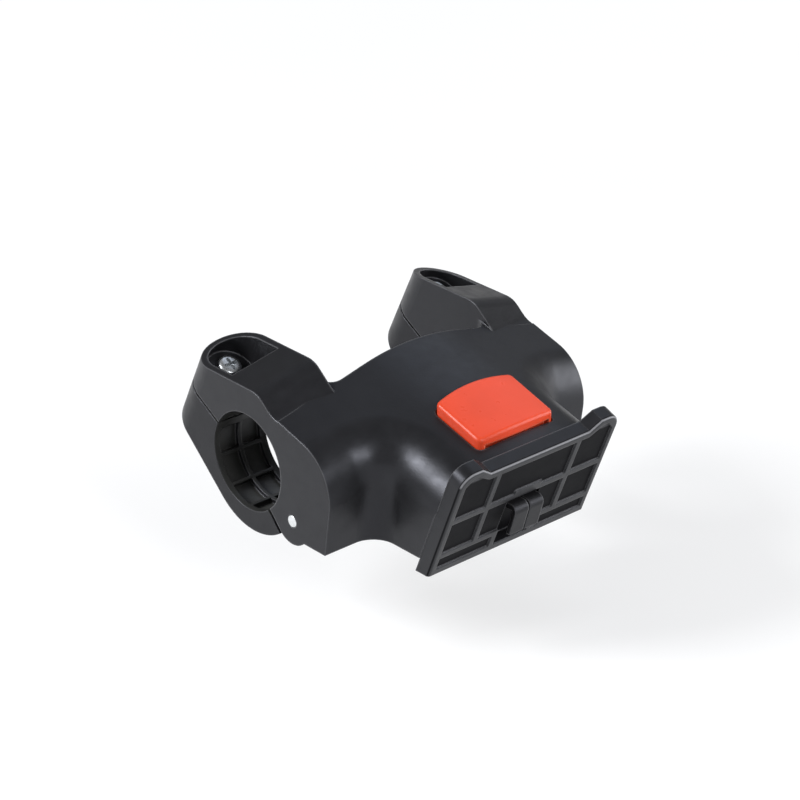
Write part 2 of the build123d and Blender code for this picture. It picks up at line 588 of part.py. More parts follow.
def release_button():
    """Hollow wedge-shaped cap with a stop flange and the leg that drives the latch."""
    low = RAIL_TOP + LATCH_TRAVEL + 1
    cap = extrude(Pos(0, 0, low) * button_plan(0), amount=FAR) & under_crown()
    cap = fillet(cap.faces().sort_by(Axis.Z)[-1].edges(), BUTTON_EDGE)
    wall = BUTTON_FRONT - BUTTON_BOW_FRONT - BUTTON_SETBACK
    brow = BUTTON_TOP_FRONT - BUTTON_CROWN - BUTTON_BROW
    cap -= block(BUTTON_HALF - BUTTON_POST, wall, FAR, low, brow)
    drop = WALL * ROOF_FACTOR + FLANGE_PLAY
    flange = block(
        BUTTON_HALF + FLANGE_WIDTH, BUTTON_REAR - FLANGE_WIDTH, BUTTON_FRONT + FLANGE_WIDTH, low, FAR)
    flange = flange & under_roof(drop, HALF, REAR_FORWARD, FAR)
    cap += flange - under_roof(drop + FLANGE_HEIGHT, HALF, REAR_FORWARD, FAR)
    rear = BUTTON_REAR + BUTTON_BOW_REAR + BUTTON_WALL
    front = wall - BUTTON_WALL
    fall = (BUTTON_TOP_REAR - BUTTON_TOP_FRONT) / (BUTTON_FRONT - BUTTON_REAR)
    under = BUTTON_TOP_REAR - BUTTON_CROWN - BUTTON_WALL
    ceiling = [(rear, under - fall * (rear - BUTTON_REAR)), (front, under - fall * (front - BUTTON_REAR))]
    hollow = make_face(Polyline((rear, -FAR), *ceiling, (front, -FAR), close=True))
    cap -= prism(hollow, BUTTON_WALL - BUTTON_HALF, BUTTON_HALF - BUTTON_WALL)
    leg_length = LEG_FRONT - LEG_REAR
    root = BUTTON_TOP_REAR - fall * (LEG_FRONT - BUTTON_REAR) - BUTTON_WALL / 2
    slope = [(LEG_REAR, LEG_TIP + leg_length), (LEG_FRONT, LEG_TIP)]
    leg = make_face(Polyline(*slope, (LEG_FRONT, root), (LEG_REAR, root), close=True))
    return cap + prism(leg, -LEG_HALF, LEG_HALF)


def latch_slide():
    """Sliding block with its ramp, arm and two hooked fingers."""
    latch = Part() + block(BLOCK_HALF, BLOCK_REAR, BLOCK_FRONT, BLOCK_BOTTOM, BLOCK_TOP)
    high = LEG_FRONT + LEG_TIP - RAMP_PLAY - BLOCK_TOP
    ahead = LEG_FRONT + LATCH_TRAVEL + 2 * RAMP_PLAY
    deep = LEG_TIP - LATCH_TRAVEL - RAMP_PLAY
    ramp = make_face(Polyline(
        (high, BLOCK_TOP), (high + BLOCK_TOP - deep, deep), (ahead, deep), (ahead, BLOCK_TOP), close=True))
    latch -= prism(ramp, -LEG_HALF - BUTTON_PLAY, LEG_HALF + BUTTON_PLAY)
    lean = math.tan(math.radians(FINGER_LEAN))
    drop = LATCH_TOP - LATCH_END
    root = BLOCK_FRONT - 1
    under = LATCH_TOP - LATCH_ARM
    end = LATCH_FRONT - lean * drop
    nook = LATCH_FRONT - lean * LATCH_ARM - LATCH_SHEET
    outer = [(root, LATCH_TOP), (LATCH_FRONT, LATCH_TOP), (end, LATCH_END)]
    inner = [(end - LATCH_SHEET, LATCH_END), (nook, under), (root, under)]
    hook = make_face(Polyline(*outer, *inner, close=True))
    corner = [v for v in hook.vertices() if v.X > LATCH_FRONT - 0.01]
    hook = fillet(corner, LATCH_BEND)
    fingers = prism(hook, -LATCH_HALF, LATCH_HALF)
    latch += fingers - block(FINGER_SLIT / 2, BLOCK_FRONT + 2, FAR, -FAR, FAR)
    spring_hole = Cylinder(SPRING_RADIUS + SPRING_WIRE / 2 + SPRING_PLAY, SPRING_POCKET)
    return latch - Pos(0, -BLOCK_REAR - SPRING_POCKET / 2, SPRING_Z) * Rot(90, 0, 0) * spring_hole


def latch_spring():
    """Coil spring between its seat in the neck and the latch."""
    length = BLOCK_REAR + SPRING_POCKET - SPRING_SEAT - SPRING_WIRE - 2 * SPRING_END_PLAY
    path = Helix(pitch=length / SPRING_TURNS, height=length, radius=SPRING_RADIUS)
    start = Plane(origin=path @ 0, z_dir=path % 0)
    wire = Rectangle(SPRING_WIRE, SPRING_WIRE)
    coil = sweep(start * wire, path=path, is_frenet=True)
    return Pos(0, -SPRING_SEAT - SPRING_WIRE / 2 - SPRING_END_PLAY, SPRING_Z) * Rot(90, 0, 0) * coil


def latch_cover():
    """Plate under the latch, held by two screws."""
    cover = block(COVER_HALF, COVER_REAR, COVER_FRONT, COVER_TOP - COVER_HEIGHT, COVER_TOP)
    cover = chamfer(cover.edges().filter_by(Axis.Z), COVER_CORNER)
    hole = Cylinder(COVER_SCREW_RADIUS + COVER_HOLE_PLAY, FAR)
    return cover - both_sides(Pos(POST_ACROSS, -POST_FORWARD, 0) * hole)


def cover_screws():
    """The two small screws of the cover."""
    seat = COVER_TOP - COVER_HEIGHT
    head = Pos(0, 0, seat - COVER_HEAD_HEIGHT / 2) * Cylinder(COVER_HEAD_RADIUS, COVER_HEAD_HEIGHT)
    length = COVER_SCREW_LENGTH + COVER_HEIGHT
    screw = head + Pos(0, 0, seat + length / 2) * Cylinder(COVER_SCREW_RADIUS, length)
    cross = Rectangle(COVER_RECESS, COVER_SLOT) + Rectangle(COVER_SLOT, COVER_RECESS)
    screw -= extrude(Pos(0, 0, seat - COVER_HEAD_HEIGHT) * cross, amount=COVER_HEAD_HEIGHT / 2)
    screw = Pos(POST_ACROSS, -POST_FORWARD, 0) * screw
    return Compound(children=[screw, mirror(screw, about=Plane.YZ)])


def main():
    """Builds every piece and writes one file for each."""
    os.makedirs("parts", exist_ok=True)
    pieces = {
        "bracket_body": bracket_body(),
        "release_button": release_button(),
        "latch_slide": latch_slide(),
        "latch_spring": latch_spring(),
        "latch_cover": latch_cover(),
        "cover_screws": cover_screws(),
    }
    right_hand = {
        "clamp_jaw": clamp_jaw(),
        "hinge_pin": hinge_pin(),
        "clamp_screw": clamp_screw(),
        "clamp_nut": clamp_nut(),
    }
    for name, piece in right_hand.items():
        pieces[f"{name}_right"] = piece
        pieces[f"{name}_left"] = mirror(piece, about=Plane.YZ)
    for name, piece in pieces.items():
        export_step(piece, f"parts/{name}.step")


main()
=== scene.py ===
"""Looks of a bicycle handlebar bag mount: finishes, fasteners, spring, studio and camera.

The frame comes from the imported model, in metres: X runs along the handlebar, the bag plate faces -Y
and +Z is up. The origin is on the bar's axis, midway between the two clamps. Sizes and places below
are in millimetres, and MM turns them into metres. The studio says which of its own are in metres.
"""

import logging
import math
from dataclasses import dataclass
from enum import Enum
from typing import ClassVar

import bpy
from bpy.types import Material, Node, NodeSocket, Object
from mathutils import Matrix, Vector


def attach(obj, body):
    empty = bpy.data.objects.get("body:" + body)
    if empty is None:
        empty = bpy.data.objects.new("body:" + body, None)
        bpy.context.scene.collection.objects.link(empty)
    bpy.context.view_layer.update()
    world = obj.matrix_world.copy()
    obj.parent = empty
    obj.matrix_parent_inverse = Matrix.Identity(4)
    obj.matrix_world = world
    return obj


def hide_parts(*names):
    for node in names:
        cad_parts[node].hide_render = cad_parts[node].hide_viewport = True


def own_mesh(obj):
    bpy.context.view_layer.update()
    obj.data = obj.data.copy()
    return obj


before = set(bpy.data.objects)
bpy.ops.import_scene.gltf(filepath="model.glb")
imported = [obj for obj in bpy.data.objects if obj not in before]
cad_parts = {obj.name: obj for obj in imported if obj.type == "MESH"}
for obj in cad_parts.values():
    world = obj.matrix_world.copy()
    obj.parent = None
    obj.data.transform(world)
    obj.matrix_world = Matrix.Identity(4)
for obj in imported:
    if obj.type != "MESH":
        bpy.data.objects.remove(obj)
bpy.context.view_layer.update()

log = logging.getLogger("bag_mount")

Pair = tuple[float, float]
Triple = tuple[float, float, float]
Operand = NodeSocket | Vector | Triple | float | None
Colour = NodeSocket | Triple

MM = 0.001
RISING: Pair = (0.0, 1.0)
FALLING: Pair = (1.0, 0.0)
ORIGIN: Triple = (0.0, 0.0, 0.0)
DOWN = Vector((0.0, 0.0, -1.0))
QUARTER_TURN = math.pi / 2


class Hand(Enum):
    """Side of the mount, as a sign along the bar."""

    LEFT = -1
    RIGHT = 1

    @property
    def label(self) -> str:
        """Word used in the names of nodes and bodies."""
        return self.name.lower()


class Socket(Enum):
    """Inputs of the shader that the finishes set."""

    COLOUR = "Base Color"
    TINT = "Specular Tint"
    METAL = "Metallic"
    ROUGHNESS = "Roughness"
    NORMAL = "Normal"
    SPECULAR = "Specular IOR Level"


class Op(Enum):
    """Arithmetic that the masks use."""

    ABSOLUTE = "ABSOLUTE"
    ADD = "ADD"
    DIVIDE = "DIVIDE"
    MAXIMUM = "MAXIMUM"
    MULTIPLY = "MULTIPLY"
    SUBTRACT = "SUBTRACT"


class Element(Enum):
    """Parts of a mesh that a step selects."""

    EDGE = "EDGE"
    FACE = "FACE"


@dataclass(frozen=True)
class ClampLayout:
    """Places that the fasteners take from the clamp's geometry, in millimetres and degrees."""

    split_angle: float = 30.0
    screw_distance: float = 28.1
    arm_middle: float = 42.5
    arm_width: float = 20.0
    well_floor: float = 7.3
    pin_forward: float = 20.871
    pin_height: float = -12.05

    def screw_matrix(self, hand: Hand) -> Matrix:
        """Placement of a screw whose own Z runs along its axis from the split plane.

        Args:
            hand: side of the mount.

        Returns:
            Matrix from the screw's own frame, in metres, to the mount's frame.
        """
        turn = math.radians(self.split_angle)
        along = Vector((0.0, math.cos(turn), math.sin(turn))) * self.screw_distance * MM
        place = Vector((hand.value * self.arm_middle * MM, 0.0, 0.0)) + along
        return Matrix.Translation(place) @ Matrix.Rotation(turn, 4, "X")

    def pin_matrix(self, hand: Hand) -> Matrix:
        """Placement of a hinge pin whose own Z runs outwards along the bar from the arm's middle.

        Args:
            hand: side of the mount.

        Returns:
            Matrix from the pin's own frame, in metres, to the mount's frame.
        """
        place = Vector((hand.value * self.arm_middle, -self.pin_forward, self.pin_height)) * MM
        return Matrix.Translation(place) @ Matrix.Rotation(hand.value * QUARTER_TURN, 4, "Y")


@dataclass(frozen=True)
class Mottle:
    """Noise that varies a finish.

    scale counts features per metre, detail the octaves, weight is that of the finer octaves, and
    span is the range of the noise that is read.
    """

    scale: float
    detail: float = 2.0
    weight: float = 0.5
    span: Pair = (0.3, 0.7)


class Graph:
    """Small helper that adds and links nodes in one material."""

    EDGE_SAMPLES: ClassVar[int] = 6
    EDGE_COSINES: ClassVar[Pair] = (0.995, 0.8)
    SQUARE_TO_BAR: ClassVar[Triple] = (0.0, 1.0, 1.0)
    END_FACE_SPAN: ClassVar[Pair] = (0.3, 0.6)

    def __init__(self, name: str) -> None:
        """Starts an empty node material.

        Args:
            name: name of the material.
        """
        self.material = bpy.data.materials.new(name)
        self.material.use_nodes = True
        self.tree = self.material.node_tree
        self.tree.nodes.clear()
        self.output = self.tree.nodes.new("ShaderNodeOutputMaterial")

    def add(self, kind: str, **settings: object) -> Node:
        """Adds a node and sets its properties.

        Args:
            kind: Blender's name of the node type.
            settings: properties of the node.

        Returns:
            The new node.
        """
        node = self.tree.nodes.new(kind)
        for key, value in settings.items():
            setattr(node, key, value)
        return node

    def link(self, source: NodeSocket, target: NodeSocket) -> None:
        """Joins an output to an input."""
        self.tree.links.new(source, target)

    def object_point(self) -> NodeSocket:
        """Position in the object's own coordinates."""
        return self.add("ShaderNodeTexCoord").outputs["Object"]

    def normal(self) -> NodeSocket:
        """Normal of the surface."""
        return self.add("ShaderNodeNewGeometry").outputs["Normal"]

    def noise(self, mottle: Mottle) -> NodeSocket:
        """Noise on the object's coordinates.

        Args:
            mottle: scale and detail of the noise.

        Returns:
            Socket of the noise value, about 0.5 in the middle.
        """
        node = self.add("ShaderNodeTexNoise")
        node.inputs["Scale"].default_value = mottle.scale
        node.inputs["Detail"].default_value = mottle.detail
        node.inputs["Roughness"].default_value = mottle.weight
        self.link(self.object_point(), node.inputs["Vector"])
        return node.outputs["Fac"]

    def mottled(self, mottle: Mottle, to: Pair = RISING) -> NodeSocket:
        """Noise whose span is mapped to a range."""
        return self.remap(self.noise(mottle), mottle.span, to)

    def remap(self, value: NodeSocket, span: Pair, to: Pair = RISING) -> NodeSocket:
        """Clamped linear map of a value from one range to another.

        Args:
            value: socket to map.
            span: start and end of the range that is read.
            to: results at the start and at the end.

        Returns:
            Socket of the mapped value.
        """
        node = self.add("ShaderNodeMapRange")
        for key, number in zip(("From Min", "From Max", "To Min", "To Max"), (*span, *to)):
            node.inputs[key].default_value = number
        self.link(value, node.inputs["Value"])
        return node.outputs["Result"]

    def operate(self, kind: str, operation: str, first: NodeSocket, second: Operand) -> Node:
        """Adds a node that works on one or two values or vectors.

        Args:
            kind: Blender's name of the node type.
            operation: Blender's name of the operation.
            first: first operand.
            second: second operand, a socket or plain numbers, or None where there is no second.

        Returns:
            The new node.
        """
        node = self.add(kind, operation=operation)
        self.link(first, node.inputs[0])
        if isinstance(second, NodeSocket):
            self.link(second, node.inputs[1])
        elif second is not None:
            node.inputs[1].default_value = second
        return node

    def math(self, operation: Op, first: NodeSocket, second: Operand = None) -> NodeSocket:
        """Result of arithmetic on one or two values."""
        return self.operate("ShaderNodeMath", operation.value, first, second).outputs["Value"]

    def dot(self, first: NodeSocket, second: Operand) -> NodeSocket:
        """Scalar product of two vectors."""
        return self.operate("ShaderNodeVectorMath", "DOT_PRODUCT", first, second).outputs["Value"]

    def length(self, vector: NodeSocket) -> NodeSocket:
        """Length of a vector."""
        return self.operate("ShaderNodeVectorMath", "LENGTH", vector, None).outputs["Value"]

    def along_bar(self, vector: NodeSocket) -> NodeSocket:
        """Size of a vector's part along the handlebar.

        Args:
            vector: vector to split.

        Returns:
            Socket of the part's size, never negative.
        """
        split = self.add("ShaderNodeSeparateXYZ")
        self.link(vector, split.inputs["Vector"])
        return self.math(Op.ABSOLUTE, split.outputs["X"])

    def mix(self, factor: NodeSocket, first: Colour, second: Colour) -> NodeSocket:
        """Mix of two colours.

        Args:
            factor: share of the second colour.
            first: colour or socket at 0.
            second: colour or socket at 1.

        Returns:
            Socket of the mixed colour.
        """
        node = self.add("ShaderNodeMix", data_type="RGBA")
        self.link(factor, node.inputs["Factor"])
        colours = [socket for socket in node.inputs if socket.type == "RGBA"]
        for socket, colour in zip(colours, (first, second)):
            if isinstance(colour, NodeSocket):
                self.link(colour, socket)
            else:
                socket.default_value = (*colour, 1.0)
        return next(socket for socket in node.outputs if socket.type == "RGBA")

    def edge_mask(self, radius: float) -> tuple[NodeSocket, NodeSocket]:
        """Rounded normal and a mask of the edges.

        Args:
            radius: width of the rounded edge, in millimetres.

        Returns:
            Sockets of the rounded normal and of the mask.
        """
        bevel = self.add("ShaderNodeBevel", samples=self.EDGE_SAMPLES)
        bevel.inputs["Radius"].default_value = radius * MM
        rounded = bevel.outputs["Normal"]
        return rounded, self.remap(self.dot(rounded, self.normal()), self.EDGE_COSINES)

    def plane_height(self, point: Vector, normal: Vector) -> NodeSocket:
        """Signed distance of the surface from a plane.

        Args:
            point: point on the plane, in metres.
            normal: unit normal of the plane.

        Returns:
            Socket of the distance, in metres.
        """
        return self.math(Op.SUBTRACT, self.dot(self.object_point(), normal), point.dot(normal))

    def bar_distance(self) -> NodeSocket:
        """Distance of the surface from the handlebar's axis, in metres."""
        point = self.object_point()
        across = self.operate("ShaderNodeVectorMath", "MULTIPLY", point, self.SQUARE_TO_BAR)
        return self.length(across.outputs["Vector"])

    def round_the_bar(self) -> NodeSocket:
        """Mask of the surfaces that run along the handlebar, without the faces square to it."""
        return self.remap(self.along_bar(self.normal()), self.END_FACE_SPAN, FALLING)

    def bump(self, height: NodeSocket, strength: float, distance: float,
             normal: NodeSocket | None = None) -> NodeSocket:
        """Bump from a height.

        Args:
            height: height value.
            strength: strength of the effect.
            distance: height of one unit, in millimetres.
            normal: normal to start from, if not the surface's own.

        Returns:
            Socket of the bumped normal.
        """
        node = self.add("ShaderNodeBump")
        node.inputs["Strength"].default_value = strength
        node.inputs["Distance"].default_value = distance * MM
        self.link(height, node.inputs["Height"])
        if normal is not None:
            self.link(normal, node.inputs["Normal"])
        return node.outputs["Normal"]

    def shader(self, **values: NodeSocket | Triple | float) -> Node:
        """Principled shader joined to the output.

        Args:
            values: numbers, colours or sockets by the name of a Socket member.

        Returns:
            The shader node.
        """
        node = self.add("ShaderNodeBsdfPrincipled")
        for key, value in values.items():
            socket = node.inputs[Socket[key].value]
            if isinstance(value, NodeSocket):
                self.link(value, socket)
            elif isinstance(value, tuple):
                socket.default_value = (*value, 1.0)
            else:
                socket.default_value = value
        self.link(node.outputs["BSDF"], self.output.inputs["Surface"])
        return node


@dataclass(frozen=True)
class MouldedPlastic:
    """Black moulded plastic with a spark-eroded grain, edges paled by wear and a painted highlight, and
    painted light on the seats.
    """

    name: str
    colour: Triple
    # edge_wear_and_highlight pales the edges, partly as wear and partly as a painted highlight.
    edge_wear_and_highlight: Triple
    roughness: float
    specular: float = 0.35
    # cool_light_tint paints the cool colour of the lamplight into the reflections.
    cool_light_tint: Triple = (0.88, 0.9, 1.0)
    edge_radius: float = 0.8
    cloud: Mottle = Mottle(70.0, 4.0, span=(0.35, 0.65))
    cloud_depth: float = 0.86
    wear: Mottle = Mottle(240.0, 3.0)
    wear_swing: float = 0.05
    grain: Mottle = Mottle(1900.0, 3.0, 0.6)
    grain_strength: float = 0.5
    grain_height: float = 0.05
    # Painted light: seat_painted_light and pocket_painted_light lift the shaded bore, its pocket floors
    # most.
    seat_painted_light: Triple = (0.03, 0.03, 0.028)
    seat_radius: float = 17.6
    pocket_painted_light: Triple = (0.045, 0.045, 0.042)
    pocket_radius: float = 16.9
    mask_blur: float = 1.02

    def base(self, graph: Graph, edge: NodeSocket) -> NodeSocket:
        """Colour of the plastic with its cloudiness, edges paled by wear and a painted highlight, and
        painted light on the clamp seats.

        Args:
            graph: material being made.
            edge: mask of the edges.

        Returns:
            Socket of the colour.
        """
        dark = tuple(self.cloud_depth * part for part in self.colour)
        cloudy = graph.mix(graph.mottled(self.cloud), dark, self.colour)
        # Paler edges: partly rubbed wear, partly a painted highlight.
        edged = graph.mix(edge, cloudy, self.edge_wear_and_highlight)
        # Painted light: the bore's surfaces round the bar are paler against their shade, its pocket
        # floors most.
        limit, start = self.seat_radius * MM, self.pocket_radius * MM
        near = graph.remap(graph.bar_distance(), (limit, self.mask_blur * limit), FALLING)
        seat = graph.math(Op.MULTIPLY, near, graph.round_the_bar())
        pocket = graph.remap(graph.bar_distance(), (start, self.mask_blur * start))
        return graph.mix(seat, edged, graph.mix(pocket, self.seat_painted_light, self.pocket_painted_light))

    def rough(self, graph: Graph) -> NodeSocket:
        """Roughness that varies a little over the surface."""
        least, most = self.roughness - self.wear_swing, self.roughness + self.wear_swing
        return graph.mottled(self.wear, (least, most))

    def gloss(self, graph: Graph) -> NodeSocket | float:
        """Strength of the reflections, the same all over."""
        return self.specular

    def material(self) -> Material:
        """Makes the finish.

        Returns:
            The finished node material.
        """
        graph = Graph(self.name)
        rounded, edge = graph.edge_mask(self.edge_radius)
        grain = graph.bump(graph.noise(self.grain), self.grain_strength, self.grain_height, rounded)
        # The specular tint is painted cool lamplight.
        graph.shader(
            COLOUR=self.base(graph, edge), ROUGHNESS=self.rough(graph), SPECULAR=self.gloss(graph),
            TINT=self.cool_light_tint, NORMAL=grain)
        return graph.material


@dataclass(frozen=True)
class BodyPlastic(MouldedPlastic):
    """The bracket's plastic, with paler rib faces, a painted highlight on the lip of the bag plate,
    dull sunk cells and painted shade in the window.

    The spans and lip_depth count in cell depths. Other lengths are in millimetres and plate_lean is in
    degrees.
    """

    plate_forward: float = 59.1
    plate_floor: float = -22.6
    plate_lean: float = 21.5
    rib_colour: Triple = (0.016, 0.016, 0.017)
    rib_span: Pair = (-0.5, -0.2)
    cell_specular: float = 0.02
    cell_depth: float = 0.6
    cell_span: Pair = (0.3, 0.6)
    # lip_painted_highlight is a painted highlight on the lip's rounded front edge.
    lip_painted_highlight: Triple = (0.2, 0.2, 0.21)
    lip_start: float = 36.9
    lip_depth: float = 0.6
    lip_span: Pair = (0.2, 0.5)
    window_half: float = 7.3
    window_top: float = 21.4
    window_depth: float = 20.0
    window_span: Pair = (-1.5, -1.2)
    window_blur: float = 1.05
    window_end_blur: float = 1.1
    # window_shade_gloss dims the reflections inside the window as painted shade.
    window_shade_gloss: float = 0.1

    def plate_distance(self, graph: Graph, turn: float) -> NodeSocket:
        """Distance of the surface from the foot of the plate's face.

        Args:
            graph: material being made.
            turn: turn of the direction that is measured, from straight ahead of the face towards up
                along it.

        Returns:
            Socket of the distance, in metres.
        """
        angle = math.radians(self.plate_lean) - turn
        direction = Vector((0.0, -math.cos(angle), -math.sin(angle)))
        corner = Vector((0.0, -self.plate_forward, self.plate_floor)) * MM
        return graph.plane_height(corner, direction)

    def face_height(self, graph: Graph) -> NodeSocket:
        """Cell depths in front of the plate's rib faces: 0 on them, -1 on the floors of the cells."""
        return graph.math(Op.DIVIDE, self.plate_distance(graph, 0.0), self.cell_depth * MM)

    def height_up(self, graph: Graph) -> NodeSocket:
        """Distance of the surface from the plate's foot, up along its face, in metres."""
        return self.plate_distance(graph, QUARTER_TURN)

    def base(self, graph: Graph, edge: NodeSocket) -> NodeSocket:
        """Colour of the plastic, with the rib faces set off from its cells and a painted highlight on
        the plate's lip.

        Args:
            graph: material being made.
            edge: mask of the edges.

        Returns:
            Socket of the colour.
        """
        face = graph.remap(self.face_height(graph), self.rib_span)
        ribbed = graph.mix(face, super().base(graph, edge), self.rib_colour)
        # Painted highlight along the lip and the ears' front edge.
        return graph.mix(self.lip_highlight_mask(graph), ribbed, self.lip_painted_highlight)

    def gloss(self, graph: Graph) -> NodeSocket:
        """Strength of the reflections, weaker on the floors of the cells, and dimmed inside the window
        as painted shade.

        Args:
            graph: material being made.

        Returns:
            Socket of the strength.
        """
        away = graph.math(Op.ABSOLUTE, graph.math(Op.ADD, self.face_height(graph), 1.0))
        plain = graph.remap(away, self.cell_span, (self.cell_specular, self.specular))
        # Painted shade: reflections inside the window are dimmed.
        inside = graph.remap(self.window_shade_mask(graph), RISING, (1.0, self.window_shade_gloss))
        return graph.math(Op.MULTIPLY, plain, inside)

    def lip_highlight_mask(self, graph: Graph) -> NodeSocket:
        """Mask of the rounded front edge along the top of the plate and its two ears, where a highlight
        is painted.

        Args:
            graph: material being made.

        Returns:
            Socket that is 1 on that edge and 0 elsewhere.
        """
        start = self.lip_start * MM
        high = graph.remap(self.height_up(graph), (start, self.mask_blur * start))
        away = graph.math(Op.ABSOLUTE, graph.math(Op.ADD, self.face_height(graph), self.lip_depth))
        return graph.math(Op.MULTIPLY, high, graph.remap(away, self.lip_span, FALLING))

    def window_shade_mask(self, graph: Graph) -> NodeSocket:
        """Mask of the walls inside the plate's window, behind its face, where shade is painted.

        Args:
            graph: material being made.

        Returns:
            Socket that is 1 inside the window and 0 elsewhere.
        """
        half, top = self.window_half * MM, self.window_top * MM
        deep = self.window_depth / self.cell_depth
        aside = graph.along_bar(graph.object_point())
        across = graph.remap(aside, (half, self.window_blur * half), FALLING)
        low = graph.remap(self.height_up(graph), (top, self.window_blur * top), FALLING)
        behind = graph.remap(self.face_height(graph), self.window_span, FALLING)
        near = graph.remap(self.face_height(graph), (-self.window_end_blur * deep, -deep))
        opening = graph.math(Op.MULTIPLY, across, low)
        return graph.math(Op.MULTIPLY, opening, graph.math(Op.MULTIPLY, behind, near))


@dataclass(frozen=True)
class LatchPlastic(BodyPlastic):
    """The latch's smoother plastic, with painted shade behind the plate's face, where its reflections
    are dimmed.
    """

    # shade_span sets where the latch's reflections are dimmed as painted shade.
    shade_span: Pair = (-3.0, -1.0)

    def base(self, graph: Graph, edge: NodeSocket) -> NodeSocket:
        """Colour of the plastic with its paler edges."""
        return MouldedPlastic.base(self, graph, edge)

    def gloss(self, graph: Graph) -> NodeSocket:
        """Strength of the reflections, dimmed inside the plate's window as painted shade."""
        # Painted shade: reflections behind the plate's face are dimmed.
        return graph.remap(self.face_height(graph), self.shade_span, (self.cell_specular, self.specular))


@dataclass(frozen=True)
class SatinPlastic:
    """Coloured satin plastic of the button, with a painted highlight along its edges."""

    name: str
    colour: Triple
    # On the button the edge colour is a painted highlight.
    edge_wear_and_highlight: Triple
    roughness: float
    specular: float = 0.3
    edge_radius: float = 0.7
    flow: Mottle = Mottle(55.0, 3.0, span=(0.35, 0.65))
    flow_depth: float = 0.9
    wear: Mottle = Mottle(420.0, 3.0)
    wear_swing: float = 0.04
    grain: Mottle = Mottle(2200.0)
    grain_strength: float = 0.15
    grain_height: float = 0.02

    def material(self) -> Material:
        """Makes the finish.

        Returns:
            The finished node material.
        """
        graph = Graph(self.name)
        rounded, edge = graph.edge_mask(self.edge_radius)
        deep = tuple(self.flow_depth * part for part in self.colour)
        streaky = graph.mix(graph.mottled(self.flow), deep, self.colour)
        # Painted highlight along the button's rounded edges.
        colour = graph.mix(edge, streaky, self.edge_wear_and_highlight)
        least, most = self.roughness - self.wear_swing, self.roughness + self.wear_swing
        rough = graph.mottled(self.wear, (least, most))
        grain = graph.bump(graph.noise(self.grain), self.grain_strength, self.grain_height, rounded)
        graph.shader(COLOUR=colour, ROUGHNESS=rough, SPECULAR=self.specular, NORMAL=grain)
        return graph.material


@dataclass(frozen=True)
class PlatedSteel:
    """Bright plated steel with fine turning marks and a few dull spots."""

    name: str
    colour: Triple
    dull_colour: Triple
    roughness: float
    spots: Mottle = Mottle(900.0, 4.0, 0.6, (0.45, 0.75))
    wear: Mottle = Mottle(3200.0)
    wear_swing: Pair = (-0.06, 0.1)
    marks: Mottle = Mottle(5200.0)
    mark_strength: float = 0.2
    mark_height: float = 0.01

    def material(self) -> Material:
        """Makes the finish.

        Returns:
            The finished node material.
        """
        graph = Graph(self.name)
        least, most = (self.roughness + swing for swing in self.wear_swing)
        graph.shader(
            COLOUR=graph.mix(graph.mottled(self.spots), self.colour, self.dull_colour), METAL=1.0,
            ROUGHNESS=graph.mottled(self.wear, (least, most)),
            NORMAL=graph.bump(graph.noise(self.marks), self.mark_strength, self.mark_height))
        return graph.material


